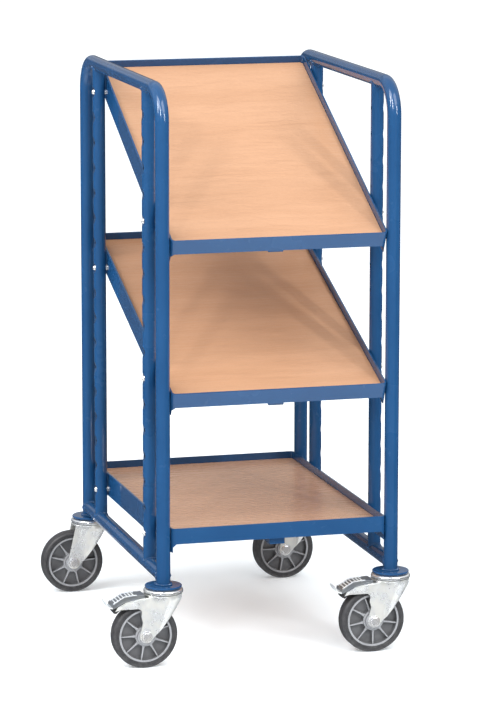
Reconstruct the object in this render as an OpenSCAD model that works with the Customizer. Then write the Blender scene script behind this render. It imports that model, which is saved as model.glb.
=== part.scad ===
// Shelf trolley for 600 x 400 mm stacking containers.
// Two bent-tube side frames stand on swivel castors and hold three trays.
// The bottom tray lies level and the two above it tilt towards the front.
// Millimetres, +Z up, floor at z = 0, front towards -Y, middle of the footprint at x = y = 0.

/* [Container and tray] */
// Length of the container, front to back
container_l = 600; // [560:10:640]
// Width of the container, left to right
container_w = 400; // [300:10:600]
// Play of the container along the tray
play_l = 20; // [2:1:30]
// Play of the container across the tray
play_w = 14; // [2:1:30]
// Sheet thickness of the tray frame
sheet_t = 3; // [2:0.5:3.5]
// Height of the front and rear lips
lip_h = 30; // [24:1:36]
// Height of the side rails
rail_h = 46; // [42:1:60]
// Outer corner radius of the tray frame
corner_r = 9; // [6:1:14]
// Width of the ledge that carries the board
ledge_w = 20; // [14:1:40]
// Thickness of the shelf board
board_t = 13; // [8:1:16]
// Play between the board and the tray frame
board_play = 0.5; // [0.2:0.1:1.5]
// Gap between the board and the nuts below it
nut_clear = 0.5; // [0.3:0.1:4]
// Width of the stiffener under the board
stiffener_w = 30; // [20:1:60]
// Depth of the stiffener
stiffener_h = 15; // [8:1:30]
// Sheet thickness of the stiffener
stiffener_t = 2; // [1:0.5:3]
// Distance from the tray front to the stiffener end
stiffener_inset = 16; // [10:1:20]

/* [Side frame] */
// Height of the top bar above the floor
frame_h = 1100; // [1080:10:1400]
// Distance between the front and rear leg axes
leg_span = 610; // [580:5:700]
// Outer diameter of the legs, top bar and bottom rail
tube_d = 26.9; // [26:0.1:30]
// Wall thickness of that tube
tube_wall = 2; // [1.5:0.25:3]
// Radius of the top bends on the tube axis
bend_r = 60; // [45:1:80]
// Distance between the front and rear upright axes
upright_span = 400; // [340:5:440]
// Outer diameter of the uprights
upright_d = 25; // [22:0.5:26]
// Wall thickness of the uprights
upright_wall = 2; // [1.5:0.25:3]
// Gap between the trays and the legs
leg_play = 0.55; // [0.3:0.05:10]
// Gap between the weld fillet of the castor plate and the bottom rail
rail_lift = 0.35; // [0.3:0.05:20]
// Gap left for the weld at a coped tube end
weld_gap = 0.1; // [0.05:0.05:0.3]
// Diameter of the vent hole in each leg
vent_d = 4; // [2:0.5:8]
// Height of the vent hole above the bottom rail axis
vent_up = 22; // [18:1:60]

/* [Holes and shelf bolts] */
// Distance between neighbouring holes
hole_pitch = 50; // [40:1:51]
// Distance from the front of a tray to its front bolts
bolt_inset = 116; // [100:1:130]
// Diameter of the holes
hole_d = 6.6; // [6.4:0.1:8]
// Height of the lowest hole above the bottom rail axis
first_hole_up = 59; // [40:1:80]
// Radius of the pressed dent around each hole
dent_r = 25; // [18:1:40]
// Depth of the dent
dent_depth = 3; // [1:0.25:4]
// Hole that holds the front of the middle tray, counted from 0
middle_front = 6; // [5:1:7]
// Hole that holds the rear of the middle tray
middle_rear = 9; // [7:1:10]
// Hole that holds the front of the top tray
top_front = 12; // [11:1:13]
// Hole that holds the rear of the top tray
top_rear = 16; // [13:1:16]
// Thread diameter of the shelf bolts
bolt_d = 6; // [5:0.5:6]
// Diameter of the bolt head
bolt_head_d = 10.5; // [9:0.5:13]
// Height of the bolt head
bolt_head_h = 3.3; // [2:0.1:5]
// Width across the flats of the nut
nut_af = 10; // [8:0.5:10]
// Height of the nut
nut_h = 5; // [3:0.5:8]
// Bolt length past the nut
bolt_past = 2; // [0.5:0.5:6]
// Outer diameter of the spacer
spacer_d = 12; // [9:0.5:16]

/* [Castor head] */
// Diameter of the plate under each leg
plate_d = 70; // [50:1:90]
// Thickness of that plate
plate_t = 4; // [3:0.5:8]
// Size of the weld fillet around the leg
fillet = 2.5; // [1:0.5:6]
// Height of the fork crown above the wheel
crown_lift = 16.5; // [15:0.5:24]
// Diameter of the swivel head
head_d = 75; // [74:1:84]
// Height of the swivel head
head_h = 9.5; // [8:0.5:14]
// Thickness of the head plate and rim
head_t = 4; // [2.5:0.5:5]
// Gap between the crown and the rim of the head
head_gap = 1.5; // [0.5:0.25:3]
// Play of the bearing balls above and below
ball_play = 0.5; // [0.3:0.1:1]
// Diameter of the ball circle
ball_circle = 48; // [38:1:56]
// Diameter of the king bolt
king_d = 12; // [8:1:14]
// Width across the flats of the king bolt head
king_af = 19; // [17:1:22]
// Height of the king bolt head
king_head_h = 7; // [5:0.5:9]
// Height of the threaded insert in the leg
insert_h = 26; // [12:1:60]

/* [Fork] */
// Distance from the swivel axis back to the wheel axle
trail = 38; // [34:1:42]
// Sheet thickness of the fork
fork_t = 3; // [2:0.5:4]
// Clear width between the fork legs
fork_gap = 38; // [38:0.5:46]
// Diameter of the fork crown
crown_d = 72; // [66:1:74]
// Height of the crown skirt
skirt_h = 9; // [6:0.5:11]
// Distance behind the swivel axis where the legs start to wrap round the crown
wrap_back = 20; // [16:1:24]
// Radius of the leg end around the axle
leg_end_r = 12.5; // [11:0.5:15]

/* [Wheel] */
// Diameter of the wheel
wheel_d = 125; // [120:1:125]
// Width of the tyre
tyre_w = 30; // [24:1:31]
// Shoulder radius of the tyre
tyre_shoulder = 6; // [2:0.5:8]
// Outer diameter of the wheel core
core_d = 102; // [94:1:106]
// Width of the core rim
rim_w = 28; // [20:1:30]
// Thickness of the core rim
rim_t = 4; // [3:0.5:6]
// Thickness of the web
web_t = 6; // [3:0.5:10]
// Number of ribs on each side of the web
rib_n = 9; // [5:1:12]
// Thickness of a rib at the rim
rib_t = 2.2; // [1.5:0.1:4]
// Thickness of a rib at the hub
rib_root = 7; // [4:0.5:9]
// Diameter of the hub
hub_d = 40; // [30:1:44]
// Outer diameter of the axle bush
bush_d = 15; // [13:0.5:18]
// Diameter of the axle bolt
axle_d = 10; // [8:0.5:10]
// Width across the flats of the axle bolt head
axle_af = 15; // [13:0.5:17]
// Diameter of the flange under that head
axle_flange_d = 21; // [18:0.5:24]

/* [Brake] */
// Distance of the pedal pin behind the swivel axis
pin_back = 49; // [47:0.5:51]
// Height of the pedal pin above the wheel
pin_up = 5; // [4:0.5:6]
// Distance from the pin down to the lower edge of the fork arm
arm_drop = 12.5; // [10:0.5:13]
// Length of the fork arm behind the pin
arm_l = 48.5; // [44:0.5:50]
// Diameter of the pedal pin
pin_d = 5; // [4:0.5:5]
// Travel of the pedal in degrees
pedal_travel = 12; // [8:1:13]
// Gap between the pedal and each fork leg
pedal_play = 0.8; // [0.4:0.1:1.5]
// Sheet thickness of the pedal
pedal_t = 2; // [1.5:0.5:2]
// Gap that the pressed shoe keeps to the tyre
shoe_gap = 0.5; // [0.3:0.1:2]
// Distance from the swivel axis to the tip of the pedal
pedal_reach = 115.5; // [114:0.5:120]
// Radius of the curled tip
tip_r = 13.5; // [11:0.5:15]

/* [Hidden] */
$fn = 48;

// Small clearances
thread_play = 0.05;
screw_play = 0.3;
run_play = 0.08;
seat = 0.3;
cut = 1;

// Tray sizes worked out from the container
tray_l = container_l + play_l + 2 * sheet_t;
tray_w = container_w + play_w + 2 * sheet_t;
board_low = nut_af / 2 + nut_clear;
rail_rise = board_low - sheet_t + lip_h;

// Castor heights
wheel_r = wheel_d / 2;
crown_r = crown_d / 2;
crown_top = wheel_d + crown_lift;
skirt_low = crown_top - skirt_h;
head_low = crown_top + head_gap;
castor_h = head_low + head_h;
ball_d = castor_h - head_t - crown_top - 2 * ball_play;
ball_n = floor(PI * ball_circle / (1.5 * ball_d));
core_r = core_d / 2;
hub_r = hub_d / 2;
bore_play = 0.05;

// Side frame places
plate_top = castor_h + plate_t;
tube_r = tube_d / 2;
upright_r = upright_d / 2;
rail_z = plate_top + fillet + rail_lift + tube_r;
bar_z = frame_h - tube_r;
leg_y = leg_span / 2;
upright_y = upright_span / 2;
side_x = tray_w / 2 + leg_play + tube_r;
spacer_l = side_x - tray_w / 2 - upright_r;
first_hole_z = rail_z + first_hole_up;
dent_half = sqrt(dent_r * dent_r - (dent_r - dent_depth) * (dent_r - dent_depth));
hole_n = floor((bar_z - tube_r - dent_half - first_hole_z) / hole_pitch) + 1;

// The pedals reach further left than the heads reach right, so the frame stands off the middle
shift_x = (pedal_reach - max(head_d, plate_d) / 2) / 2;

// Bolt holes that carry each tray, bottom to top, as pairs of front and rear
tray_holes = [[0, 0], [middle_front, middle_rear], [top_front, top_rear]];

// Castors as side, end and rib angle; the front ones carry a brake
front_left = [-1, -1, 20];
front_right = [1, -1, 30];
rear_left = [-1, 1, 5];
rear_right = [1, 1, 20];

// Colours
blue = [0.13, 0.30, 0.52];
beech = [0.83, 0.62, 0.45];
zinc = [0.78, 0.79, 0.78];
dark_zinc = [0.45, 0.46, 0.47];
tyre_grey = [0.22, 0.22, 0.23];
core_grey = [0.38, 0.38, 0.40];
pad_black = [0.08, 0.08, 0.08];

function hole_z(k) = first_hole_z + k * hole_pitch;
function tray_tilt(holes) = atan((hole_z(holes[1]) - hole_z(holes[0])) / upright_span);
function tray_mid_z(holes) = (hole_z(holes[0]) + hole_z(holes[1])) / 2;
function bolt_half(holes) = upright_y / cos(tray_tilt(holes));

// Shapes shared by several pieces

module along_x(r, h) {
    rotate([0, 90, 0])
        cylinder(r = r, h = h, center = true);
}

module along_y(r, h) {
    rotate([90, 0, 0])
        cylinder(r = r, h = h, center = true);
}

module hex_x(af, h) {
    rotate([0, 90, 0])
        cylinder(r = af / 2 / cos(30), h = h, $fn = 6);
}

module hex_y(af, h) {
    rotate([90, 0, 0])
        cylinder(r = af / 2 / cos(30), h = h, center = true, $fn = 6);
}

// Extrudes a side view drawn as x and z evenly to both sides of y = 0
module side_view(w) {
    rotate([90, 0, 0])
        linear_extrude(w, center = true)
            children();
}

module rounded_rect(w, l, r) {
    square([w - 2 * r, l], center = true);
    square([w, l - 2 * r], center = true);
    for (x = [-1, 1], y = [-1, 1])
        translate([x * (w / 2 - r), y * (l / 2 - r)])
            circle(r);
}

// Side frame

module hoop_solid(r, low) {
    for (end = [-1, 1]) {
        translate([0, end * leg_y, low])
            cylinder(r = r, h = bar_z - bend_r - low);
        translate([0, end * (leg_y - bend_r), bar_z - bend_r])
            rotate([90, 0, end * 90])
                rotate_extrude(angle = 90)
                    translate([bend_r, 0])
                        circle(r);
    }
    translate([0, 0, bar_z])
        along_y(r, 2 * (leg_y - bend_r));
}

module hoop(side) {
    color(blue)
        translate([shift_x + side * side_x, 0, 0])
            difference() {
                hoop_solid(tube_r, plate_top);
                hoop_solid(tube_r - tube_wall, plate_top - cut);
                for (end = [-1, 1])
                    translate([side * tube_r, end * leg_y, rail_z + vent_up])
                        along_x(vent_d / 2, tube_r);
            }
}

module bottom_rail(side) {
    color(blue)
        translate([shift_x + side * side_x, 0, rail_z])
            difference() {
                along_y(tube_r, leg_span);
                along_y(tube_r - tube_wall, leg_span + cut);
                for (end = [-1, 1])
                    translate([0, end * leg_y, 0])
                        cylinder(r = tube_r + weld_gap, h = 2 * tube_d, center = true);
            }
}

// Each hole sits in a dent that is pressed into the outer side of the tube
module dents(side, r) {
    for (k = [0:hole_n - 1])
        translate([side * (upright_r - dent_depth + dent_r), 0, hole_z(k)])
            along_y(r, upright_d + cut);
}

module upright(side, end) {
    color(blue)
        translate([shift_x + side * side_x, end * upright_y, 0])
            difference() {
                translate([0, 0, rail_z])
                    cylinder(r = upright_r, h = bar_z - rail_z);
                difference() {
                    translate([0, 0, rail_z - cut])
                        cylinder(r = upright_r - upright_wall, h = bar_z - rail_z + 2 * cut);
                    dents(side, dent_r + upright_wall);
                }
                dents(side, dent_r);
                for (k = [0:hole_n - 1])
                    translate([0, 0, hole_z(k)])
                        along_x(hole_d / 2, upright_d + cut);
                for (z = [rail_z, bar_z])
                    translate([0, 0, z])
                        along_y(tube_r + weld_gap, 2 * upright_d);
            }
}

module plate(castor) {
    color(blue)
        at_castor(castor)
            rotate_extrude()
                polygon([
                    [king_d / 2 + screw_play, castor_h],
                    [plate_d / 2 - 1, castor_h],
                    [plate_d / 2, castor_h + 1],
                    [plate_d / 2, plate_top - 1],
                    [plate_d / 2 - 1, plate_top],
                    [tube_r + weld_gap + fillet, plate_top],
                    [tube_r + weld_gap, plate_top + fillet],
                    [tube_r + weld_gap, plate_top],
                    [king_d / 2 + screw_play, plate_top]
                ]);
}

module leg_inserts() {
    color(zinc)
        for (side = [-1, 1], end = [-1, 1])
            translate([shift_x + side * side_x, end * leg_y, plate_top])
                difference() {
                    cylinder(r = tube_r - tube_wall - weld_gap, h = insert_h);
                    translate([0, 0, -cut])
                        cylinder(r = king_d / 2 + thread_play, h = insert_h + 2 * cut);
                }
}

// Trays
// A tray is drawn level, with the bolt axes at z = 0 and the tray tilted about their middle.
// The front bolt is as far from the front lip on every tray.

module at_tray(holes) {
    translate([shift_x, 0, tray_mid_z(holes)])
        rotate([tray_tilt(holes), 0, 0])
            children();
}

module on_tray(holes) {
    at_tray(holes)
        translate([0, tray_l / 2 - bolt_inset - bolt_half(holes), 0])
            children();
}

module lip_window() {
    edge = tray_w / 2 - corner_r;
    step = corner_r - sheet_t;
    low = rail_rise - rail_h - cut;
    top = rail_rise - lip_h;
    side_view(corner_r + cut)
        polygon([
            [-edge, top],
            [-edge - step, top - step],
            [-edge - step, low],
            [edge + step, low],
            [edge + step, top - step],
            [edge, top]
        ]);
}

// The ledges start inside the lips that they are folded from
module tray_frame(holes) {
    ledge_run = ledge_w + sheet_t / 2;
    color(blue)
        difference() {
            on_tray(holes) {
                difference() {
                    translate([0, 0, rail_rise - rail_h])
                        linear_extrude(rail_h)
                            difference() {
                                rounded_rect(tray_w, tray_l, corner_r);
                                rounded_rect(tray_w - 2 * sheet_t, tray_l - 2 * sheet_t,
                                    corner_r - sheet_t);
                            }
                    for (end = [-1, 1])
                        translate([0, end * (tray_l / 2 - (corner_r - cut) / 2), 0])
                            lip_window();
                }
                for (end = [-1, 1])
                    translate([0, end * (tray_l - sheet_t - ledge_run) / 2, board_low - sheet_t / 2])
                        cube([tray_w - 2 * corner_r, ledge_run, sheet_t], center = true);
            }
            at_tray(holes)
                for (end = [-1, 1])
                    translate([0, end * bolt_half(holes), 0])
                        along_x(hole_d / 2, tray_w + cut);
        }
}

module board(holes) {
    color(beech)
        on_tray(holes)
            translate([0, 0, board_low])
                linear_extrude(board_t)
                    rounded_rect(tray_w - 2 * sheet_t - 2 * board_play,
                        tray_l - 2 * sheet_t - 2 * board_play, corner_r - sheet_t);
}

// A folded channel with closed ends, welded under the two ledges
module stiffener(holes) {
    length = tray_l - 2 * stiffener_inset;
    color(blue)
        on_tray(holes)
            translate([0, 0, rail_rise - lip_h - stiffener_h / 2])
                difference() {
                    cube([stiffener_w, length, stiffener_h], center = true);
                    translate([0, 0, stiffener_t])
                        cube([
                            stiffener_w - 2 * stiffener_t,
                            length - 2 * stiffener_t,
                            stiffener_h
                        ], center = true);
                }
}

// Shelf bolts run from the dent through upright, spacer, side rail and nut.
// The spacer is hollowed to the upright and makes up the bit that the legs are thicker.

dent_floor = upright_r - dent_depth;
head_dip = dent_r - sqrt(dent_r * dent_r - bolt_head_d * bolt_head_d / 4);
head_seat = dent_floor + head_dip + thread_play;
bolt_end = upright_r + spacer_l + sheet_t + nut_h + bolt_past;

// Places children at every shelf bolt, with +X pointing to the middle of the trolley
module at_shelf_bolts() {
    for (side = [-1, 1], holes = tray_holes, end = [0, 1]) {
        $tilt = tray_tilt(holes);
        translate([shift_x + side * side_x, (2 * end - 1) * upright_y, hole_z(holes[end])])
            mirror([side > 0 ? 1 : 0, 0, 0])
                children();
    }
}

module shelf_bolts() {
    color(zinc)
        at_shelf_bolts() {
            translate([-head_seat, 0, 0])
                rotate([0, 90, 0])
                    cylinder(r = bolt_d / 2, h = head_seat + bolt_end);
            translate([-head_seat, 0, 0])
                rotate([0, -90, 0])
                    difference() {
                        cylinder(r1 = bolt_head_d / 2, r2 = bolt_head_d / 3, h = bolt_head_h, $fn = 32);
                        translate([0, 0, bolt_head_h / 2])
                            cylinder(r = bolt_d / 3, h = bolt_head_h, $fn = 6);
                    }
        }
}

module shelf_spacers() {
    color(zinc)
        at_shelf_bolts()
            difference() {
                translate([upright_r / 2, 0, 0])
                    rotate([0, 90, 0])
                        cylinder(r = spacer_d / 2, h = upright_r / 2 + spacer_l);
                along_x(bolt_d / 2 + screw_play, 4 * upright_d);
                cylinder(r = upright_r + thread_play, h = 2 * spacer_d, center = true);
            }
}

// The nuts turn their flats to the board, so they follow the tilt of the tray
module shelf_nuts() {
    color(zinc)
        at_shelf_bolts()
            translate([upright_r + spacer_l + sheet_t, 0, 0])
                difference() {
                    rotate([$tilt + 30, 0, 0])
                        hex_x(nut_af, nut_h);
                    along_x(bolt_d / 2 + thread_play, 4 * nut_h);
                }
}

// Castors
// Each castor is drawn about its swivel axis, with the wheel trailing towards -X.

module at_castor(castor) {
    translate([shift_x + castor[0] * side_x, castor[1] * leg_y, 0])
        children();
}

module head(castor) {
    color(zinc)
        at_castor(castor)
            rotate_extrude()
                polygon([
                    [king_d / 2 + thread_play, castor_h - head_t],
                    [king_d / 2 + thread_play, castor_h],
                    [head_d / 2 - 2, castor_h],
                    [head_d / 2, castor_h - 2],
                    [head_d / 2, head_low + 1],
                    [head_d / 2 - 1, head_low],
                    [head_d / 2 - head_t, head_low],
                    [head_d / 2 - head_t, castor_h - head_t]
                ]);
}

module swivel_balls() {
    color(dark_zinc)
        for (side = [-1, 1], end = [-1, 1])
            translate([shift_x + side * side_x, end * leg_y, crown_top + ball_play + ball_d / 2])
                for (i = [0:ball_n - 1])
                    rotate(i * 360 / ball_n)
                        translate([ball_circle / 2, 0, 0])
                            sphere(d = ball_d, $fn = 24);
}

module king_bolts() {
    under = crown_top - fork_t - seat;
    color(dark_zinc)
        for (side = [-1, 1], end = [-1, 1])
            translate([shift_x + side * side_x, end * leg_y, 0]) {
                translate([0, 0, under])
                    cylinder(r = king_d / 2, h = plate_top + insert_h - under);
                translate([0, 0, under - king_head_h])
                    cylinder(r = king_af / 2 / cos(30), h = king_head_h, $fn = 6);
            }
}

// A point on the round leg end around the axle
function leg_end(a) = [-trail + leg_end_r * cos(a), wheel_r + leg_end_r * sin(a)];

// Side view of the flared fork, seen along the axle
module fork_view() {
    translate([-trail, wheel_r])
        circle(leg_end_r);
    polygon([
        leg_end(168),
        [-crown_r + 4, crown_top],
        [crown_r, crown_top],
        [crown_r, skirt_low],
        leg_end(-42),
        [-trail, wheel_r]
    ]);
}

// Solid with two flat legs that wraps from them round the front half of the crown
module flare(grow) {
    leg_w = fork_gap + 2 * grow;
    leg_low = wheel_r - leg_end_r;
    leg_top = crown_top - fork_t + grow / 2;
    hull() {
        translate([0, 0, skirt_low])
            intersection() {
                cylinder(r = crown_r - fork_t + grow, h = skirt_h - fork_t + grow);
                translate([0, -crown_r, 0])
                    cube([crown_r, crown_d, skirt_h]);
            }
        translate([-wrap_back, -leg_w / 2, leg_low])
            cube([1, leg_w, leg_top - leg_low]);
    }
    translate([-2 * trail, -leg_w / 2, leg_low])
        cube([2 * trail - wrap_back + 0.5, leg_w, leg_top - leg_low]);
}

// The space for the wheel, open to the front and to the back
module wheel_slot() {
    low = wheel_r - leg_end_r - cut;
    flare(0);
    translate([-2 * trail, -fork_gap / 2, low])
        cube([4 * trail, fork_gap, crown_top - fork_t - low]);
}

// Upper edge of the brake arm, from its tip to the crown, seen from the pedal pin
function arm_edge(drop) = [
    [-arm_l + 4.5, -7.7 - drop],
    [-arm_l + 20, 0.3 - drop],
    [-arm_l + 34, 4 - drop],
    [0, 5.9 - drop],
    [pin_back - crown_r + 10, 8.6 - drop]
];

// Side view of the arm that carries the pedal
module arm_view() {
    knee_r = 8;
    knee = [pin_back - trail - leg_end_r + 4, -arm_drop];
    polygon(concat(
        [[pin_back - trail, -wheel_r], knee - [1, 2 * knee_r]],
        [for (a = [0:15:90]) knee - knee_r * [1 - cos(a), 1 - sin(a)]],
        [[-arm_l + 9, -arm_drop], [-arm_l, -arm_drop - 2.5]],
        arm_edge(0),
        [[pin_back - crown_r + 12, -arm_drop]]
    ));
}

// The folded rim along the upper edge of the arm
module arm_rim_view() {
    low = arm_edge(1.5);
    polygon(concat(arm_edge(0), [for (i = [len(low) - 1:-1:0]) low[i]]));
}

module arm(side) {
    rim_w = 2;
    at_pin() {
        translate([0, side * (fork_gap + fork_t) / 2, 0])
            side_view(fork_t)
                arm_view();
        translate([0, side * (fork_gap / 2 + fork_t + rim_w / 2), 0])
            side_view(rim_w)
                arm_rim_view();
    }
}

module fork(castor) {
    braked = castor[1] < 0;
    color(zinc)
        at_castor(castor)
            difference() {
                union() {
                    translate([0, 0, crown_top - fork_t])
                        cylinder(r = crown_r, h = fork_t);
                    difference() {
                        intersection() {
                            flare(fork_t);
                            side_view(crown_d)
                                fork_view();
                        }
                        wheel_slot();
                    }
                    if (braked)
                        for (side = [-1, 1])
                            arm(side);
                }
                translate([0, 0, crown_top / 2])
                    cylinder(r = king_d / 2 + run_play, h = crown_top);
                translate([-trail, 0, wheel_r])
                    along_y(axle_d / 2 + run_play, 2 * fork_gap);
                if (braked)
                    at_pin()
                        along_y(pin_d / 2 + thread_play, 2 * fork_gap);
            }
}

axle_head_h = 6;
axle_flange_h = 1.6;

// Hex flange bolt with its nut; the head faces the front
module axle(castor) {
    outer = fork_gap / 2 + fork_t;
    nut_w = 8;
    color(zinc)
        at_castor(castor)
            translate([-trail, 0, wheel_r]) {
                translate([0, (nut_w + 2) / 2, 0])
                    along_y(axle_d / 2, 2 * outer + nut_w + 2);
                translate([0, -outer - axle_flange_h / 2, 0])
                    along_y(axle_flange_d / 2, axle_flange_h);
                translate([0, -outer - axle_head_h / 2, 0])
                    hex_y(axle_af, axle_head_h);
                translate([0, outer + nut_w / 2, 0])
                    difference() {
                        hex_y(axle_af, nut_w);
                        along_y(axle_d / 2 + thread_play, 2 * nut_w);
                    }
            }
}

module bush(castor) {
    color(dark_zinc)
        at_castor(castor)
            translate([-trail, 0, wheel_r])
                difference() {
                    along_y(bush_d / 2, fork_gap - 2 * thread_play);
                    along_y(axle_d / 2 + run_play, fork_gap + cut);
                }
}

// Wheel

module core(castor) {
    hub_w = fork_gap - 1;
    inner_r = core_r - rim_t;
    color(core_grey)
        at_castor(castor)
            translate([-trail, 0, wheel_r])
                difference() {
                    union() {
                        along_y(hub_r, rim_w);
                        along_y(hub_r - 4, hub_w);
                        along_y(inner_r + 1, web_t);
                        difference() {
                            along_y(core_r, rim_w);
                            along_y(inner_r, rim_w + cut);
                        }
                        for (i = [0:rib_n - 1])
                            rotate([0, -castor[2] - i * 360 / rib_n, 0])
                                side_view(rim_w - 4)
                                    polygon([
                                        [hub_r - 3, -rib_root / 2],
                                        [hub_r + 6, -rib_t * 0.75],
                                        [inner_r + 1, -rib_t / 2],
                                        [inner_r + 1, rib_t / 2],
                                        [hub_r + 6, rib_t * 0.75],
                                        [hub_r - 3, rib_root / 2]
                                    ]);
                    }
                    along_y(bush_d / 2 + run_play, 2 * fork_gap);
                }
}

module tyre(castor) {
    flat = tyre_w / 2 - tyre_shoulder;
    color(tyre_grey)
        at_castor(castor)
            translate([-trail, 0, wheel_r])
                rotate([90, 0, 0])
                    difference() {
                        rotate_extrude() {
                            translate([core_r - cut, -tyre_w / 2])
                                square([wheel_r - tyre_shoulder - core_r + cut, tyre_w]);
                            translate([wheel_r - tyre_shoulder - cut, -flat])
                                square([tyre_shoulder + cut, 2 * flat]);
                            for (y = [-flat, flat])
                                translate([wheel_r - tyre_shoulder, y])
                                    circle(tyre_shoulder);
                        }
                        cylinder(r = core_r + bore_play, h = 2 * tyre_w, center = true);
                    }
}

// Brake

// The pedal is drawn about its pin.
module at_pin() {
    translate([-pin_back, 0, wheel_d + pin_up])
        children();
}

pedal_w = fork_gap - 2 * pedal_play;
pedal_in = pin_back - head_d / 2 - 2.5;
pedal_out = pedal_reach - pin_back - tip_r;

pedal_slope = 13 / (pedal_out - 30);

// Upper face of the pedal cover: flat near the crown, then sloping down to the back
function cover(drop, short) = [
    [pedal_in, 12.5 - drop],
    [-14, 12 - drop],
    [-30, 10 - drop],
    [short - pedal_out, short * pedal_slope - 3 - drop]
];

module pedal_view() {
    polygon(concat(cover(0, 0), [
        [-pedal_out - 1, -11],
        [-pedal_out + 4, -10],
        [-30, 0],
        [-12, -3.5],
        [5, -3.5],
        [pedal_in, 2]
    ]));
}

// Raised bars across the sloping part give the shoe grip
module grip_bars() {
    step = 6;
    for (i = [0:3])
        translate([-30, 0, 10])
            rotate([0, -atan(pedal_slope), 0])
                translate([-step * (i + 0.3), 0, 0])
                    cube([2, pedal_w - 8, 2.4], center = true);
}

// The curled tip that the foot lifts
module tip_view() {
    centre = [-pedal_out, 3];
    polygon(concat(
        [for (a = [180:10:270]) centre + tip_r * [cos(a), sin(a)]],
        [for (a = [270:-10:180]) centre + (tip_r - pedal_t) * [cos(a), sin(a)]]
    ));
}

module pedal(castor) {
    inner_w = pedal_w - 2 * pedal_t;
    color(dark_zinc)
        at_castor(castor)
            at_pin()
                difference() {
                    union() {
                        difference() {
                            side_view(pedal_w)
                                pedal_view();
                            side_view(inner_w)
                                polygon(concat(cover(pedal_t, pedal_t), [
                                    [-pedal_out + pedal_t, -20],
                                    [pedal_in + cut, -20],
                                    [pedal_in + cut, 12.5 - pedal_t]
                                ]));
                        }
                        side_view(pedal_w)
                            tip_view();
                        grip_bars();
                    }
                    along_y(pin_d / 2 + run_play, 2 * pedal_w);
                }
}

// The brake block fills the cover and is shaped to the tyre as it meets it
module shoe(castor) {
    under = cover(pedal_t, pedal_t + 0.2);
    color(pad_black)
        at_castor(castor)
            at_pin()
                difference() {
                    side_view(tyre_w - 2)
                        polygon([
                            [under[3][0], -20],
                            under[3] - [0, 0.2],
                            under[2],
                            [-18, under[1][1] - 0.6],
                            [-18, -30]
                        ]);
                    rotate([0, pedal_travel, 0])
                        translate([pin_back - trail, 0, wheel_r - wheel_d - pin_up])
                            along_y(wheel_r + shoe_gap, 2 * tyre_w);
                }
}

module pin(castor) {
    color(zinc)
        at_castor(castor)
            at_pin() {
                along_y(pin_d / 2, fork_gap + 2 * fork_t + 2);
                for (end = [-1, 1])
                    translate([0, end * (fork_gap / 2 + fork_t + 1), 0])
                        along_y(pin_d / 2 + 1.5, 2);
            }
}

hoop(-1);  // left_hoop
hoop(1);  // right_hoop
bottom_rail(-1);  // left_bottom_rail
bottom_rail(1);  // right_bottom_rail
upright(-1, -1);  // left_front_upright
upright(-1, 1);  // left_rear_upright
upright(1, -1);  // right_front_upright
upright(1, 1);  // right_rear_upright
plate(front_left);  // front_left_plate
plate(front_right);  // front_right_plate
plate(rear_left);  // rear_left_plate
plate(rear_right);  // rear_right_plate
tray_frame(tray_holes[0]);  // bottom_tray
tray_frame(tray_holes[1]);  // middle_tray
tray_frame(tray_holes[2]);  // top_tray
board(tray_holes[0]);  // bottom_board
board(tray_holes[1]);  // middle_board
board(tray_holes[2]);  // top_board
stiffener(tray_holes[0]);  // bottom_stiffener
stiffener(tray_holes[1]);  // middle_stiffener
stiffener(tray_holes[2]);  // top_stiffener
shelf_bolts();
shelf_spacers();
shelf_nuts();
leg_inserts();
king_bolts();
swivel_balls();
head(front_left);  // front_left_head
head(front_right);  // front_right_head
head(rear_left);  // rear_left_head
head(rear_right);  // rear_right_head
fork(front_left);  // front_left_fork
fork(front_right);  // front_right_fork
fork(rear_left);  // rear_left_fork
fork(rear_right);  // rear_right_fork
axle(front_left);  // front_left_axle
axle(front_right);  // front_right_axle
axle(rear_left);  // rear_left_axle
axle(rear_right);  // rear_right_axle
bush(front_left);  // front_left_bush
bush(front_right);  // front_right_bush
bush(rear_left);  // rear_left_bush
bush(rear_right);  // rear_right_bush
core(front_left);  // front_left_core
core(front_right);  // front_right_core
core(rear_left);  // rear_left_core
core(rear_right);  // rear_right_core
tyre(front_left);  // front_left_tyre
tyre(front_right);  // front_right_tyre
tyre(rear_left);  // rear_left_tyre
tyre(rear_right);  // rear_right_tyre
pedal(front_left);  // front_left_pedal
pedal(front_right);  // front_right_pedal
shoe(front_left);  // front_left_shoe
shoe(front_right);  // front_right_shoe
pin(front_left);  // front_left_pin
pin(front_right);  // front_right_pin
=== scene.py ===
# A shelf trolley for stacking containers: looks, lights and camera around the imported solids.
import math

import bmesh
import bpy
from mathutils import Matrix, Vector


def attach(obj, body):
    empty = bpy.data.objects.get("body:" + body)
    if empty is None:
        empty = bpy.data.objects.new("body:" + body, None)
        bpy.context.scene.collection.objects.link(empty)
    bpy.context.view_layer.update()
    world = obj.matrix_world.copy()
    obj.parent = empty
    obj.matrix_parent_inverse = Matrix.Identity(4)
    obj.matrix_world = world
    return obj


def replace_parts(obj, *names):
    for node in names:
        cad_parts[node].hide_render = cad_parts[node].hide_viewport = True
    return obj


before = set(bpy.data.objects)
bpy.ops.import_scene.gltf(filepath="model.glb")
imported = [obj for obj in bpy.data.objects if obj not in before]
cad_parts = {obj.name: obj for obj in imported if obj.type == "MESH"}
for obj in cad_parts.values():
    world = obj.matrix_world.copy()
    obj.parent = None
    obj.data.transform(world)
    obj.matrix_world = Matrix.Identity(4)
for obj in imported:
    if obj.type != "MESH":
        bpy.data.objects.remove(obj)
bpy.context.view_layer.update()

# Sizes in metres and radians, the same as in the part's source
MIDDLE_X = 0.039
SIDE_X = 0.224
LEG_Y = 0.305
UPRIGHT_Y = 0.2
RAIL_Z = 0.1728
BAR_Z = 1.08655
TUBE_R = 0.01345
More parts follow.
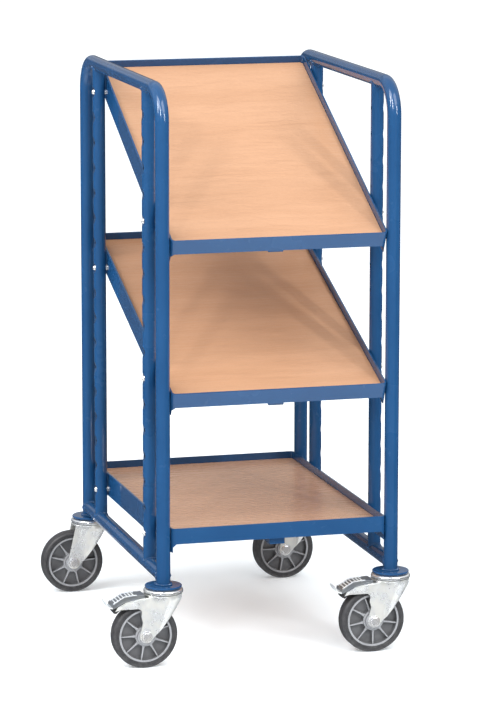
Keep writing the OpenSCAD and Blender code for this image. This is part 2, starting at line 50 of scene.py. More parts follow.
UPRIGHT_R = 0.0125
WHEEL_R = 0.0625
TRAIL = 0.038
PLATE_LOW = 0.1525
PLATE_TOP = 0.1565
PIN_BACK = 0.049
PIN_Z = 0.13
TILTS = {
    "bottom": 0.0,
    "middle": math.atan2(0.15, 0.4),
    "top": math.atan2(0.2, 0.4),
}
CASTORS = {
    "front_left": (-1, -1),
    "front_right": (1, -1),
    "rear_left": (-1, 1),
    "rear_right": (1, 1),
}
BRAKED = ("front_left", "front_right")
SIDES = ((-1, "left"), (1, "right"))
ENDS = ((-1, "front"), (1, "rear"))

# Edges: how wide each kind of piece is rounded, in metres
TUBE_EDGE = 0.0003
TRAY_EDGE = 0.0011
STIFFENER_EDGE = 0.0008
BOARD_EDGE = 0.0006
SMALL_EDGE = 0.0004
SHOE_EDGE = 0.0008
GRIP_EDGE = 0.0003
EDGE_STEPS = 2

# Degrees: a turn over EDGE_TURN is rounded, one under FLAT_TURN is made flat, and one over
# SMOOTH_TURN stays sharp in the shading
EDGE_TURN = 30
FLAT_TURN = 0.3
SMOOTH_TURN = 32

# Points closer than this, in metres, are one point
SAME_PLACE = 2e-6


def swivel_axis(castor):
    """The point on the floor under a castor's swivel axis."""
    side, end = CASTORS[castor]
    return Vector((MIDDLE_X + side * SIDE_X, end * LEG_Y, 0))


def wheel_centre(castor):
    return swivel_axis(castor) + Vector((-TRAIL, 0, WHEEL_R))


def pedal_pin(castor):
    return swivel_axis(castor) + Vector((-PIN_BACK, 0, PIN_Z))


# Node trees

class Tree:
    """Adds nodes to a shader or geometry tree and joins them."""

    def __init__(self, tree):
        self.tree = tree

    def add(self, kind, inputs=None, **settings):
        node = self.tree.nodes.new(kind)
        for name, value in settings.items():
            setattr(node, name, value)
        for name, value in (inputs or {}).items():
            self.put(node.inputs[name], value)
        return node

    def put(self, socket, value):
        if isinstance(value, bpy.types.NodeSocket):
            self.tree.links.new(value, socket)
        else:
            socket.default_value = value

    def calc(self, kind, *values):
        """One Math node; kind is its operation."""
        node = self.add("ShaderNodeMath", operation=kind)
        for socket, value in zip(node.inputs, values):
            self.put(socket, value)
        return node.outputs[0]

    def times(self, first, second):
        return self.calc("MULTIPLY", first, second)

    def vector(self, **parts):
        return self.add("ShaderNodeCombineXYZ", parts).outputs[0]

    def mapped(self, place, **settings):
        return self.add("ShaderNodeMapping", {"Vector": place, **settings}).outputs[0]

    def noise(self, place, scale, detail=2.0, roughness=0.5):
        return self.add("ShaderNodeTexNoise", {
            "Vector": place, "Scale": scale, "Detail": detail, "Roughness": roughness,
        }).outputs["Fac"]

    def spread(self, value, low, high, to_low=0.0, to_high=1.0):
        """Stretches low..high to to_low..to_high and stops at both ends."""
        return self.add("ShaderNodeMapRange", {
            "Value": value, "From Min": low, "From Max": high, "To Min": to_low, "To Max": to_high,
        }).outputs[0]

    def mix(self, amount, first, second, kind="MIX"):
        node = self.add("ShaderNodeMix", data_type="RGBA", blend_type=kind)
        self.put(node.inputs[0], amount)
        self.put(node.inputs[6], first)
        self.put(node.inputs[7], second)
        return node.outputs[2]

    def bump(self, height, distance, strength):
        return self.add("ShaderNodeBump", {
            "Height": height, "Distance": distance, "Strength": strength,
        }).outputs[0]


def group(name, inputs, outputs):
    """A shader node group; inputs are (name, kind, value), outputs are (name, kind)."""
    tree = bpy.data.node_groups.new(name, "ShaderNodeTree")
    for label, kind, value in inputs:
        socket = tree.interface.new_socket(label, in_out="INPUT", socket_type="NodeSocket" + kind)
        socket.default_value = value
    for label, kind in outputs:
        tree.interface.new_socket(label, in_out="OUTPUT", socket_type="NodeSocket" + kind)
    t = Tree(tree)
    return t, t.add("NodeGroupInput").outputs, t.add("NodeGroupOutput").inputs


def object_place(t):
    return t.add("ShaderNodeTexCoord").outputs["Object"]


# What the node group of a finish gives to its shader
SURFACE = [("Colour", "Color"), ("Roughness", "Float"), ("Normal", "Vector")]


def powder_coat_group():
    """Powder coat: fine orange peel, a little cloudiness and faint rubbed spots.

    Gloss is its roughness, and Peel is how strong the orange peel is.
    """
    t, given, made = group(
        "powder_coat",
        [
            ("Colour", "Color", (0.05, 0.13, 0.3, 1)),
            ("Gloss", "Float", 0.3),
            ("Peel", "Float", 1.0),
        ],
        SURFACE,
    )
    cloud_tint, rubbed = (0.86, 0.88, 0.9, 1), (0.2, 0.3, 0.45, 1)
    peel_depth = 0.00006
    place = object_place(t)
    cloud = t.noise(place, scale=9, detail=3)
    rub = t.spread(t.noise(place, scale=55, detail=5, roughness=0.65), 0.62, 0.78)
    darker = t.mix(1.0, given["Colour"], cloud_tint, "MULTIPLY")
    base = t.mix(t.spread(cloud, 0.35, 0.65), darker, given["Colour"])
    t.put(made["Colour"], t.mix(t.times(rub, 0.015), base, rubbed))
    rough = t.calc("MULTIPLY_ADD", cloud, 0.12, t.calc("SUBTRACT", given["Gloss"], 0.06))
    t.put(made["Roughness"], t.calc("ADD", rough, t.times(rub, 0.06)))
    peel = t.noise(place, scale=620, roughness=0.6)
    t.put(made["Normal"], t.bump(peel, peel_depth, t.times(given["Peel"], 0.25)))
    return t.tree


def plated_steel_group():
    """Plated steel: cloudy sheen that turns from cool to warm, and fine brush lines.

    Gloss is its roughness, and Grain is how strong the brush lines are.
    """
    t, given, made = group(
        "plated_steel",
        [
            ("Colour", "Color", (0.7, 0.7, 0.7, 1)),
            ("Gloss", "Float", 0.3),
            ("Grain", "Float", 1.0),
        ],
        SURFACE,
    )
    cool_tint, warm_tint = (0.88, 0.89, 0.91, 1), (1.0, 0.985, 0.94, 1)
    brush_depth = 0.00006
    place = object_place(t)
    cloud = t.noise(place, scale=45, detail=3, roughness=0.55)
    dull = t.mix(1.0, given["Colour"], cool_tint, "MULTIPLY")
    warm = t.mix(1.0, given["Colour"], warm_tint, "MULTIPLY")
    t.put(made["Colour"], t.mix(t.spread(cloud, 0.38, 0.62), dull, warm))
    lowest = t.calc("SUBTRACT", given["Gloss"], 0.08)
    t.put(made["Roughness"], t.calc("MULTIPLY_ADD", cloud, 0.16, lowest))
    brush = t.noise(t.mapped(place, Scale=(300, 300, 2600)), scale=1)
    t.put(made["Normal"], t.bump(brush, brush_depth, t.times(given["Grain"], 0.4)))
    return t.tree


def beech_group():
    """Beech laminate with its grain along X: broad bands, fine fibres and short flecks."""
    t, given, made = group(
        "beech_laminate",
        [("Tilt", "Float", 0.0), ("Shift", "Float", 0.0)],
        SURFACE,
    )
    pale, tan, brown = (0.485, 0.278, 0.167, 1), (0.452, 0.253, 0.148, 1), (0.28, 0.139, 0.073, 1)
    bend_width, pore_depth = 0.05, 0.00004
    turn = t.vector(X=t.times(given["Tilt"], -1))
    move = t.vector(X=given["Shift"], Z=given["Shift"])
    level = t.mapped(object_place(t), Rotation=turn, Location=move)
    bend = t.calc("MULTIPLY_ADD", t.noise(level, scale=3.2), bend_width, -bend_width / 2)
    sway = t.vector(Y=bend)
    wood = t.add("ShaderNodeVectorMath", {0: level, 1: sway}, operation="ADD").outputs[0]

    def streaks(along, across, detail, roughness=0.5):
        stretched = t.mapped(wood, Scale=(along, across, along))
        return t.noise(stretched, scale=1, detail=detail, roughness=roughness)

    bands = streaks(along=1.6, across=26, detail=3)
    fibres = streaks(along=14, across=420, detail=3, roughness=0.65)
    flecks = t.spread(streaks(along=150, across=900, detail=1), 0.63, 0.75)
    ground = t.mix(t.spread(bands, 0.35, 0.68), pale, tan)
    fibre = t.mix(t.times(t.spread(fibres, 0.45, 0.8), 0.5), ground, brown)
    t.put(made["Colour"], t.mix(t.times(flecks, 0.3), fibre, brown))
    t.put(made["Roughness"], t.spread(fibres, 0.3, 0.8, 0.22, 0.34))
    t.put(made["Normal"], t.bump(t.calc("ADD", fibres, flecks), pore_depth, 0.15))
    return t.tree


def floor_dust_group():
    """Fine dust that thins out from the floor up to the height Top."""
    t, given, made = group(
        "floor_dust",
        [
            ("Colour", "Color", (0.1, 0.1, 0.1, 1)),
            ("Amount", "Float", 0.3),
            ("Top", "Float", 0.15),
        ],
        [("Colour", "Color"), ("Mask", "Float")],
    )
    dust = (0.36, 0.35, 0.33, 1)
    place = object_place(t)
    height = t.add("ShaderNodeSeparateXYZ", {"Vector": place}).outputs["Z"]
    low = t.spread(height, 0.0, given["Top"], 1.0, 0.15)
    patch = t.spread(t.noise(place, scale=120, detail=5, roughness=0.7), 0.38, 0.7)
    mask = t.times(t.times(low, patch), given["Amount"])
    t.put(made["Colour"], t.mix(mask, given["Colour"], dust))
    t.put(made["Mask"], mask)
    return t.tree


POWDER_COAT = powder_coat_group()
PLATED_STEEL = plated_steel_group()
BEECH = beech_group()
FLOOR_DUST = floor_dust_group()


def material(name, **sockets):
    """A material with one Principled shader; sockets are its constant values."""
    made = bpy.data.materials.new(name)
    made.use_nodes = True
    t = Tree(made.node_tree)
    shader = made.node_tree.nodes["Principled BSDF"]
    for label, value in sockets.items():
        shader.inputs[label.replace("_", " ")].default_value = value
    return made, t, shader


def use(t, tree, **inputs):
    """The outputs of a node group with these inputs."""
    return t.add("ShaderNodeGroup", inputs, node_tree=tree).outputs


def surface(t, shader, colour, roughness, normal):
    t.put(shader.inputs["Base Color"], colour)
    t.put(shader.inputs["Roughness"], roughness)
    t.put(shader.inputs["Normal"], normal)


def painted(name, colour, gloss):
    made, t, shader = material(
        name, Metallic=0.0, Coat_Roughness=0.05, Coat_Weight=0.75, Specular_IOR_Level=0.12)
    coat = use(t, POWDER_COAT, Colour=colour, Gloss=gloss)
    surface(t, shader, coat["Colour"], coat["Roughness"], coat["Normal"])
    return made


def plated(name, colour, gloss, grain=1.0, dust=0.0, metal=1.0):
    made, t, shader = material(name, Metallic=metal)
    steel = use(t, PLATED_STEEL, Colour=colour, Gloss=gloss, Grain=grain)
    colour_out, rough = steel["Colour"], steel["Roughness"]
    if dust:
        film = use(t, FLOOR_DUST, Colour=colour_out, Amount=dust)
        colour_out = film["Colour"]
        rough = t.calc("ADD", rough, t.times(film["Mask"], 0.3))
    surface(t, shader, colour_out, rough, steel["Normal"])
    return made


def beech_board(name, tilt, shift, sheen):
    """A finish for one board; tilt levels the grain, shift gives it a pattern of its own, and sheen
    is set per board to stand in for its light.
    """
    made, t, shader = material(name, Metallic=0.0, Specular_IOR_Level=sheen)
    wood = use(t, BEECH, Tilt=tilt, Shift=shift)
    surface(t, shader, wood["Colour"], wood["Roughness"], wood["Normal"])
    return made


def moulded(name, colour, gloss, texture, dust):
    """Rubber or plastic from a mould: a fine grain and some dust."""
    made, t, shader = material(name, Metallic=0.0, Specular_IOR_Level=0.4)
    darker = tuple(0.82 * part for part in colour[:3]) + (1,)
    grain_depth = 0.00008
    place = object_place(t)
    cloud = t.noise(place, scale=40, detail=3)
    shade = t.mix(t.spread(cloud, 0.3, 0.7), darker, colour)
    film = use(t, FLOOR_DUST, Colour=shade, Amount=dust)
    rough = t.spread(cloud, 0.2, 0.8, gloss - 0.05, gloss + 0.08)
    grain = t.bump(t.noise(place, scale=1500), grain_depth, texture)
    surface(t, shader, film["Colour"], rough, grain)
    return made


BLUE = painted("blue_powder_coat", (0.0096, 0.056, 0.15, 1), gloss=0.26)
# Near-black steel for the uprights' inner walls: partly the bare steel inside the tube, partly
# painted shade
BARE_STEEL_AND_SHADE = plated("tube_inside_bare_and_shaded", (0.05, 0.05, 0.055, 1), gloss=0.5)
ZINC = plated(
    "bright_zinc", (0.88, 0.9, 0.905, 1), gloss=0.28, grain=0.25, dust=0.08, metal=0.65)
POLISHED = plated("polished_head", (0.86, 0.89, 0.93, 1), gloss=0.18, grain=0.2, metal=0.85)
DARK_STEEL = plated(
    "dull_pedal_plating", (0.25, 0.27, 0.295, 1), gloss=0.38, dust=0.1, metal=0.8)
# A pale plating for the pedals' grip rails and bars and their curled tips: a painted highlight on
# the raised parts
PEDAL_HIGHLIGHT_TRIM = plated(
    "pedal_plating_painted_highlight", (0.79, 0.83, 0.87, 1), gloss=0.36, grain=0.6, metal=0.4)
TYRE = moulded("grey_tyre_rubber", (0.034, 0.034, 0.038, 1), gloss=0.5, texture=0.6, dust=0.12)
CORE = moulded("grey_core_plastic", (0.13, 0.132, 0.14, 1), gloss=0.36, texture=0.3, dust=0.08)
PAD = moulded("black_brake_rubber", (0.02, 0.02, 0.021, 1), gloss=0.6, texture=0.6, dust=0.15)
# A lighter grey for the outer edges of the wheel cores' rim, hub and ribs: a painted highlight
CORE_EDGE_HIGHLIGHT = moulded(
    "core_edges_painted_highlight", (0.3, 0.305, 0.32, 1), gloss=0.3, texture=0.2, dust=0.05)
BOLT = plated("bright_bolt_plating", (0.9, 0.91, 0.93, 1), gloss=0.2, grain=0.2, metal=0.8)
# The laminate is the same on all boards, but the sheen differs to stand in for light: a strong
# sheen pales the bottom board as if more lit, and a weak one keeps the middle board's shade deep
BOARDS = {
    name: beech_board("beech_" + name, TILTS[name], shift, sheen)
    for name, shift, sheen in (("bottom", 0.0, 0.9), ("middle", 3.1, 0.12), ("top", 7.7, 0.24))
}


# Meshes

def finish_mesh(mesh):
    mesh.shade_smooth()
    mesh.set_sharp_from_angle(angle=math.radians(SMOOTH_TURN))


def refinish(name, finish):
    """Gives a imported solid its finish."""
    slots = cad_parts[name].data.materials
    slots.clear()
    slots.append(finish)


def new_piece(name, mesh, finish, body):
    piece = bpy.data.objects.new(name, mesh)
    bpy.context.scene.collection.objects.link(piece)
    if finish is not None:
        mesh.materials.clear()
        mesh.materials.append(finish)
    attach(piece, body)
    return piece


def evaluated_mesh(holder):
    depsgraph = bpy.context.evaluated_depsgraph_get()
    return bpy.data.meshes.new_from_object(holder.evaluated_get(depsgraph))


def even_normals(mesh):
    """A copy of a mesh whose normals follow its larger faces, not the narrow ones."""
    holder = bpy.data.objects.new(mesh.name + "_normals", mesh)
    bpy.context.scene.collection.objects.link(holder)
    modifier = holder.modifiers.new("normals", "WEIGHTED_NORMAL")
    modifier.mode = "FACE_AREA"
    modifier.weight = 100
    modifier.keep_sharp = True
    made = evaluated_mesh(holder)
    made.name = mesh.name
    bpy.data.objects.remove(holder)
    return made


def rounded(bm, edges, width, limited):
    bmesh.ops.bevel(
        bm, geom=edges, offset=width, offset_type="OFFSET", segments=EDGE_STEPS, profile=0.5,
        affect="EDGES", clamp_overlap=limited)


def softened(node, finish, body, width, trim=None, limited=False):
    """A copy of a node with its sharp edges rounded by width, shown in the node's place.

    trim is a second finish and a test that picks its faces by their centre and normal.
    limited stops the rounding where it would overlap; a width of 0 keeps the edges sharp.
    """
    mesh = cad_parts[node].data.copy()
    mesh.name = node + "_soft"
    bm = bmesh.new()
    bm.from_mesh(mesh)
    bmesh.ops.remove_doubles(bm, verts=bm.verts, dist=SAME_PLACE)
    bmesh.ops.dissolve_limit(
        bm, angle_limit=math.radians(FLAT_TURN), verts=bm.verts, edges=bm.edges, delimit=set())
    if width:
        sharp = math.radians(EDGE_TURN)
        edges = [e for e in bm.edges if len(e.link_faces) == 2 and e.calc_face_angle(0) > sharp]
        rounded(bm, edges, width, limited)
        bmesh.ops.dissolve_degenerate(bm, dist=SAME_PLACE, edges=bm.edges)
    bmesh.ops.triangulate(bm, faces=[f for f in bm.faces if len(f.verts) > 4])
    bm.to_mesh(mesh)
    bm.free()
    finish_mesh(mesh)
    mesh = even_normals(mesh)
    piece = new_piece(node + "_soft", mesh, finish, body)
    if trim is not None:
        trim_finish, wanted = trim
        mesh.materials.append(trim_finish)
        for face in mesh.polygons:
            face.material_index = 1 if wanted(face.center, face.normal) else 0
    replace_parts(piece, node)


def turned(name, node, profile, centre, axis, finish, body, steps):
    """Turns a closed profile of (radius, place along the axis) about 'Y' or 'Z', for a node."""
    bm = bmesh.new()
    rings = []
    for i in range(steps):
        a = 2 * math.pi * i / steps
        ring = []
        for radius, along in profile:
            u, v = radius * math.cos(a), radius * math.sin(a)
            offset = Vector((u, v, along)) if axis == "Z" else Vector((u, along, v))
            ring.append(bm.verts.new(centre + offset))
        rings.append(ring)
    count = len(profile)
    for i in range(steps):
        here, after = rings[i], rings[(i + 1) % steps]
        for j in range(count):
            k = (j + 1) % count
            bm.faces.new((here[j], after[j], after[k], here[k]))
    bmesh.ops.remove_doubles(bm, verts=bm.verts, dist=SAME_PLACE / 2)
    bmesh.ops.recalc_face_normals(bm, faces=bm.faces)
    mesh = bpy.data.meshes.new(name)
    bm.to_mesh(mesh)
    bm.free()
    finish_mesh(mesh)
    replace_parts(new_piece(name, mesh, finish, body), node)


def arc(centre, radius, start, stop, steps):
    """Points of an arc in a profile, angles in degrees."""
    points = []
    for i in range(steps + 1):
        a = math.radians(start + (stop - start) * i / steps)
        points.append((centre[0] + radius * math.cos(a), centre[1] + radius * math.sin(a)))
    return points


# Side frames: the tubes with softened edges, and weld beads where they meet

def on_upright_inside(side, end):
    """Tells which faces of an upright are its inner wall, which isn't painted: bare steel, made
    near black as painted shade inside the tube.
    """
    x0, y0 = MIDDLE_X + side * SIDE_X, end * UPRIGHT_Y
    wall_middle = UPRIGHT_R - 0.001

    def test(place, normal):
        x, y = place.x - x0, place.y - y0
        return math.hypot(x, y) < wall_middle and x * normal.x + y * normal.y < 0

    return test


for castor in CASTORS:
    refinish(castor + "_plate", BLUE)
for _, side_name in SIDES:
    softened(side_name + "_hoop", BLUE, "frame", TUBE_EDGE)
    softened(side_name + "_bottom_rail", BLUE, "frame", TUBE_EDGE)
for side, side_name in SIDES:
    for end, end_name in ENDS:
        # The inner walls of the uprights get the near-black bare steel, partly painted shade
        softened(
            f"{side_name}_{end_name}_upright", BLUE, "frame", TUBE_EDGE,
            trim=(BARE_STEEL_AND_SHADE, on_upright_inside(side, end)))


def weld_paths(side):
    """Closed rings of points where the tubes and plates of one side frame meet, in metres."""
    x0 = MIDDLE_X + side * SIDE_X
    steps = 72  # points on each ring
    turns = [2 * math.pi * i / steps for i in range(steps)]
    foot_r, foot_z = TUBE_R + 0.0014, PLATE_TOP + 0.0012
    rings = []
    for end, _ in ENDS:
        rings.append([(
            x0 + TUBE_R * math.cos(a),
            end * (LEG_Y - math.sqrt(max(TUBE_R ** 2 - (TUBE_R * math.cos(a)) ** 2, 0))),
            RAIL_Z + TUBE_R * math.sin(a),
        ) for a in turns])
        rings.append([(
            x0 + foot_r * math.cos(a), end * LEG_Y + foot_r * math.sin(a), foot_z,
        ) for a in turns])
        for z0, way in ((RAIL_Z, 1), (BAR_Z, -1)):
            rings.append([(
                x0 + UPRIGHT_R * math.cos(a),
                end * UPRIGHT_Y + UPRIGHT_R * math.sin(a),
                z0 + way * math.sqrt(TUBE_R ** 2 - (UPRIGHT_R * math.cos(a)) ** 2),
            ) for a in turns])
    return rings


def weld_bead_tree():
    """Lays overlapping flat drops along a path, the ripples of a weld bead."""
    tree = bpy.data.node_groups.new("weld_bead", "GeometryNodeTree")
    tree.interface.new_socket("Path", in_out="INPUT", socket_type="NodeSocketGeometry")
    for label, value in (("Ripple", 0.0026), ("Bead radius", 0.0022), ("Flatness", 0.72)):
        socket = tree.interface.new_socket(label, in_out="INPUT", socket_type="NodeSocketFloat")
        socket.default_value = value
    socket = tree.interface.new_socket("Finish", in_out="INPUT", socket_type="NodeSocketMaterial")
    tree.interface.new_socket("Beads", in_out="OUTPUT", socket_type="NodeSocketGeometry")
    t = Tree(tree)
    given = t.add("NodeGroupInput").outputs
    curve = t.add("GeometryNodeMeshToCurve", {"Mesh": given["Path"]}).outputs[0]
    even = t.add("GeometryNodeResampleCurve", {
        "Curve": curve, "Length": given["Ripple"],
    }, mode="LENGTH").outputs[0]
    drop = t.add("GeometryNodeMeshIcoSphere", {
        "Radius": given["Bead radius"], "Subdivisions": 2,
    }).outputs[0]
    tangent = t.add("GeometryNodeInputTangent").outputs[0]
    turn = t.add("FunctionNodeAlignRotationToVector", {"Vector": tangent}, axis="X").outputs[0]
    uneven = t.add("FunctionNodeRandomValue", {
        "Min": 0.9, "Max": 1.12, "Seed": 7,
    }, data_type="FLOAT").outputs[1]
    size = t.vector(X=given["Flatness"], Y=uneven, Z=uneven)
    drops = t.add("GeometryNodeInstanceOnPoints", {
        "Points": even, "Instance": drop, "Rotation": turn, "Scale": size,
    }).outputs[0]
    solid = t.add("GeometryNodeRealizeInstances", {"Geometry": drops}).outputs[0]
    smooth = t.add("GeometryNodeSetShadeSmooth", {"Geometry": solid}).outputs[0]
    coated = t.add("GeometryNodeSetMaterial", {
        "Geometry": smooth, "Material": given["Finish"],
    }).outputs[0]
    t.put(t.add("NodeGroupOutput").inputs["Beads"], coated)
    return tree


WELD_BEAD = weld_bead_tree()


def from_tree(name, points_mesh, tree, values, body):
    """Runs a Geometry Nodes tree on a mesh and keeps its result as a plain piece."""
    holder = bpy.data.objects.new(name + "_path", points_mesh)
    bpy.context.scene.collection.objects.link(holder)
    modifier = holder.modifiers.new("shape", "NODES")
    modifier.node_group = tree
    for item in tree.interface.items_tree:
        if item.in_out == "INPUT" and item.name in values:
            modifier[item.identifier] = values[item.name]
    mesh = evaluated_mesh(holder)
    holder.modifiers.remove(modifier)
    bpy.data.objects.remove(holder)
    mesh.name = name
    new_piece(name, mesh, None, body)


for side, label in SIDES:
    points, lines = [], []
    for ring in weld_paths(side):
        first = len(points)
        points += ring
        lines += [(first + i, first + (i + 1) % len(ring)) for i in range(len(ring))]
    path = bpy.data.meshes.new(label + "_weld_path")
    path.from_pydata(points, lines, [])
    from_tree(label + "_weld_beads", path, WELD_BEAD, {"Finish": BLUE}, "frame")


# Trays: a folded sheet, a stiffener and a board in each. The rounding of the sheet is limited,
# because without the limit it makes spikes at the holes and corners.

for name in TILTS:
    softened(name + "_tray", BLUE, "frame", TRAY_EDGE, limited=True)
    softened(name + "_stiffener", BLUE, "frame", STIFFENER_EDGE)
    softened(name + "_board", BOARDS[name], "frame", BOARD_EDGE)

for name in ("shelf_bolts", "shelf_spacers", "shelf_nuts", "leg_inserts"):
    refinish(name, BOLT)
for name in ("king_bolts", "swivel_balls"):
    refinish(name, DARK_STEEL)


# Castors

# Section of a head, as radius and height; its top falls away from the plate, which leaves a
# dark gap around it
HEAD_PROFILE = (
    [(0.00605, 0.1485), (0.00605, PLATE_LOW), (0.029, PLATE_LOW)]
    + arc((0.0336, 0.1463), 0.0039, 90, 0, 8)
    + arc((0.0363, 0.1445), 0.0012, 0, -90, 4)
    + arc((0.0347, 0.1443), 0.0013, -90, -180, 4)
    + [(0.0334, 0.1485)]
)


def on_core_edge(castor):
    """Tells which faces of a wheel core are the outer edges of its rim, hub and ribs, which are
    painted a lighter grey as a highlight.
    """
    middle_y = wheel_centre(castor).y
    edge_starts = 0.011

    def test(place, normal):
        return abs(place.y - middle_y) > edge_starts and abs(normal.y) > 0.5

    return test


def tyre_profile():
    """The tyre's section, one half mirrored: sidewall with a step and a groove, shoulder, tread."""
    half = [
        (0.05105, 0.0145),
        (0.0526, 0.0145),
        (0.0530, 0.0150),
        (0.0545, 0.0150),
        (0.0548, 0.0145),
        (0.0553, 0.0145),
        (0.0556, 0.0150),
    ]
    half += arc((0.0565, 0.009), 0.006, 88, 0, 9)
    return half + [(radius, -along) for radius, along in reversed(half)]


for castor in CASTORS:
    body = castor + "_castor"
    wheel = castor + "_wheel"
    turned(
        castor + "_head_ring", castor + "_head", HEAD_PROFILE, swivel_axis(castor), "Z",
        POLISHED, "frame", 120)
    softened(castor + "_fork", ZINC, body, 0)
    softened(castor + "_axle", BOLT, body, SMALL_EDGE)
    # The cores' outer edges get the lighter grey of a painted highlight
    softened(
        castor + "_core", CORE, wheel, SMALL_EDGE, trim=(CORE_EDGE_HIGHLIGHT, on_core_edge(castor)))
    turned(
        castor + "_tyre_ring", castor + "_tyre", tyre_profile(), wheel_centre(castor), "Y",
        TYRE, wheel, 128)
    refinish(castor + "_bush", DARK_STEEL)


# Pedals

# Where the slope of a pedal starts and ends, along X and Z from its pin
SLOPE_START, SLOPE_HIGH = -0.03, 0.01
SLOPE_END, SLOPE_LOW = -0.053, -0.003


def on_pedal_bar(castor):
    """Tells which faces of a pedal belong to the grip bars or to the curled tip, which get a pale
    plating as a painted highlight.
    """
    pin = pedal_pin(castor)
    tip, bar_rise = SLOPE_END - 0.0005, 0.0004

    def test(place, _normal):
        back, up = place.x - pin.x, place.z - pin.z
        if back < tip:
            return True
        share = (back - SLOPE_START) / (SLOPE_END - SLOPE_START)
        sheet = SLOPE_HIGH + (SLOPE_LOW - SLOPE_HIGH) * share
        return 0 < share < 1 and up > sheet + bar_rise

    return test


def pedal_grip(castor):
    """Two raised rails along a pedal, and bars across its flat part like those on its slope, in a
    pale plating that is a painted highlight.
    """
    pin = pedal_pin(castor)
    profile = [(-0.006, 0.0123), (-0.014, 0.012), (SLOPE_START, SLOPE_HIGH), (-0.051, -0.0019)]
    bars = [(-0.0125, 0.0121), (-0.0185, 0.01144), (-0.0245, 0.01069)]
    rail_y, rail_w, bar_w, fall, proud, sunk = 0.0145, 0.0024, 0.002, 0.0001, 0.0011, 0.0006
    bm = bmesh.new()

    def strip(points, y0, y1):
        """A bar with a flat top that follows points of the pedal's side view."""
        loops = []
        for back, up in points:
            loops.append([
                bm.verts.new(pin + Vector((back, y, up + lift)))
                for y, lift in ((y0, -sunk), (y0, proud), (y1, proud), (y1, -sunk))
            ])
        for near, far in zip(loops, loops[1:]):
            for j in range(4):
                k = (j + 1) % 4
                bm.faces.new((near[j], near[k], far[k], far[j]))
        bm.faces.new(loops[0])
        bm.faces.new(list(reversed(loops[-1])))

    for edge in (-1, 1):
        strip(profile, edge * rail_y - rail_w / 2, edge * rail_y + rail_w / 2)
    for back, up in bars:
        strip([(back + bar_w / 2, up), (back - bar_w / 2, up - fall)], -rail_y, rail_y)
    bmesh.ops.recalc_face_normals(bm, faces=bm.faces)
    rounded(bm, bm.edges[:], GRIP_EDGE, True)
    mesh = bpy.data.meshes.new(castor + "_pedal_grip")
    bm.to_mesh(mesh)
    bm.free()
    finish_mesh(mesh)
    new_piece(castor + "_pedal_grip", mesh, PEDAL_HIGHLIGHT_TRIM, castor + "_brake")


for castor in BRAKED:
    pedal_grip(castor)
    brake = castor + "_brake"
    # The pedal's grip bars and curled tip get the pale plating of a painted highlight
    bars_and_tip_highlight = (PEDAL_HIGHLIGHT_TRIM, on_pedal_bar(castor))
    softened(castor + "_pedal", DARK_STEEL, brake, SMALL_EDGE, trim=bars_and_tip_highlight)
    softened(castor + "_shoe", PAD, brake, SHOE_EDGE)
    refinish(castor + "_pin", ZINC)


# Floor, lights and camera

def grey(value):
    return (value, value, value, 1)


def studio_floor():
    """A pale floor that glows a little, and more with the distance from the trolley, so the weaker
    glow near the trolley is painted shade around it.
    """
    mesh = bpy.data.meshes.new("studio_floor")
    reach = 40.0
    corners = [(x * reach, y * reach, 0) for x, y in ((-1, -1), (1, -1), (1, 1), (-1, 1))]
    mesh.from_pydata(corners, [], [(0, 1, 2, 3)])
    floor = bpy.data.objects.new("studio_floor", mesh)
    bpy.context.scene.collection.objects.link(floor)
    made, t, shader = material(
        "pale_floor", Roughness=0.75, Specular_IOR_Level=0.2, Emission_Strength=0.27)
    light_grain, dark_grain = (0.85, 0.905, 0.94, 1), (0.825, 0.875, 0.91, 1)
    near, far = 0.7, 3.5
    place = object_place(t)
    grain = t.noise(place, scale=3)
    away = t.add("ShaderNodeVectorMath", {"Vector": place}, operation="LENGTH").outputs["Value"]
    # Weaker glow near the trolley, stronger far away: painted shade around the trolley
    glow = t.mix(t.spread(away, near, far), grey(0.78), grey(1.6))
    t.put(shader.inputs["Emission Color"], glow)
    t.put(shader.inputs["Base Color"], t.mix(grain, light_grain, dark_grain))
    mesh.materials.append(made)
    floor.visible_glossy = False


def soft_box(name, place, target, size, watts, shine=True, fill=True):
    """An area light; shine and fill say whether it gives highlights and diffuse light."""
    light = bpy.data.lights.new(name, "AREA")
    light.shape = "RECTANGLE"
    light.size, light.size_y = size
    light.energy = watts
    lamp = bpy.data.objects.new(name, light)
    bpy.context.scene.collection.objects.link(lamp)
    lamp.location = place
    lamp.rotation_mode = "QUATERNION"
    lamp.rotation_quaternion = (Vector(target) - Vector(place)).to_track_quat("-Z", "Y")
    lamp.visible_glossy = shine
    lamp.visible_diffuse = fill


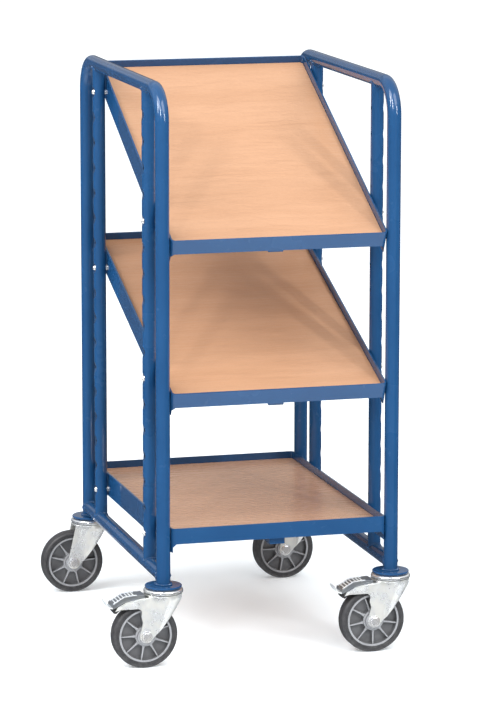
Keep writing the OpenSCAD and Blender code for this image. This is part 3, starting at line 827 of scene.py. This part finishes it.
def studio_room():
    """A room that is bright above and below, dimmer in front and dark behind."""
    world = bpy.data.worlds.new("studio_room")
    world.use_nodes = True
    t = Tree(world.node_tree)
    behind, in_front = (0.13, 0.13, 0.14, 1), (0.4, 0.378, 0.365, 1)
    screen, black = (0.06, 0.06, 0.07, 1), (0.01, 0.01, 0.012, 1)
    direction = t.add("ShaderNodeTexCoord").outputs["Generated"]
    way = t.add("ShaderNodeSeparateXYZ", {"Vector": direction}).outputs

    # Walls, with soft dark screens and one black flag in front on the right
    ring = t.mix(t.spread(way["Y"], 0.1, -0.7), behind, in_front)
    screens = t.spread(t.noise(direction, scale=3.2, detail=1), 0.42, 0.58)
    around = t.mix(t.times(screens, 0.6), ring, screen)
    flag = t.times(t.spread(way["X"], 0.42, 0.52), t.spread(way["X"], 0.92, 0.82))
    flag = t.times(flag, t.spread(way["Y"], -0.25, -0.4))
    around = t.mix(flag, around, black)

    # Bright floor, brighter in front
    front_floor = t.times(
        t.spread(way["Z"], -0.35, -0.75), t.spread(way["Y"], 0.3, -0.2, 0.3, 1.0))
    below = t.mix(front_floor, around, grey(1.8))

    # White sky that reaches lower at the back, where a band of it is dim
    full = t.spread(way["Y"], 0.0, 0.6, 0.5, 0.26)
    sky = t.spread(way["Z"], 0.1, full)
    low_back = t.times(t.spread(way["Z"], 0.2, 0.25), t.spread(way["Z"], 0.62, 0.5))
    dim = t.times(low_back, t.spread(way["Y"], 0.6, 0.85, 0.0, 0.72))
    white = t.mix(dim, grey(1), (0.25, 0.25, 0.27, 1))
    background = world.node_tree.nodes["Background"]
    t.put(background.inputs["Color"], t.mix(sky, below, white))
    background.inputs["Strength"].default_value = 0.85
    return world


TROLLEY_LOW = (0, 0, 0.5)
TROLLEY_HIGH = (0, 0, 0.9)
HOOP_BEND = (-0.19, -0.3, 1.05)

studio_floor()
soft_box("key_box", (2.2, -5.2, 6.2), TROLLEY_LOW, (4.5, 4.5), 325)
soft_box("left_box", (-4.0, -2.2, 5.6), TROLLEY_LOW, (3.5, 3.5), 290)
soft_box("side_box", (-1.6, -0.15, 0.9), (-0.1, 0.25, 0.6), (0.8, 1.4), 14, shine=False)
soft_box("right_spot", (1.5, -3.4, 2.4), TROLLEY_HIGH, (0.16, 1.2), 40, shine=False)
soft_box("middle_spot", (-0.5, -3.8, 2.5), TROLLEY_HIGH, (0.16, 1.0), 28, shine=False)
soft_box("left_spot", (-2.2, -3.2, 2.4), TROLLEY_HIGH, (0.16, 1.2), 28, shine=False)
soft_box("left_glint", (-3.5, -1.31, 3.05), HOOP_BEND, (0.3, 2.0), 95, fill=False)
soft_box("middle_glint", (-1.92, -3.3, 3.05), HOOP_BEND, (0.3, 2.0), 95, fill=False)
soft_box("right_glint", (2.0, -3.54, 1.88), HOOP_BEND, (0.3, 1.4), 66, fill=False)

scene = bpy.context.scene
scene.view_settings.view_transform = "Standard"
scene.world = studio_room()

# The camera that was fitted to the photograph: place in metres, turns in radians,
# focal length and picture height in pixels, sensor in millimetres
CAMERA_PLACE = (-1.82448, -6.76699, 1.81473)
YAW, PITCH, ROLL = 0.2699, 0.1817, 0.0008
FOCAL_LENGTH, PICTURE_HEIGHT = 3646.7, 715
SENSOR = 36

camera_data = bpy.data.cameras.new("photo_camera")
camera = bpy.data.objects.new("photo_camera", camera_data)
scene.collection.objects.link(camera)
scene.camera = camera
camera_data.sensor_width = SENSOR
camera_data.lens = FOCAL_LENGTH / PICTURE_HEIGHT * SENSOR
camera_data.clip_end = 200
ahead = Vector((
    math.sin(YAW) * math.cos(PITCH), math.cos(YAW) * math.cos(PITCH), -math.sin(PITCH)))
right = Vector((math.cos(YAW), -math.sin(YAW), 0))
above = right.cross(ahead)
turned_right = right * math.cos(ROLL) + above * math.sin(ROLL)
turned_above = above * math.cos(ROLL) - right * math.sin(ROLL)
axes = Matrix((turned_right, turned_above, -ahead)).transposed()
camera.matrix_world = Matrix.Translation(CAMERA_PLACE) @ axes.to_4x4()
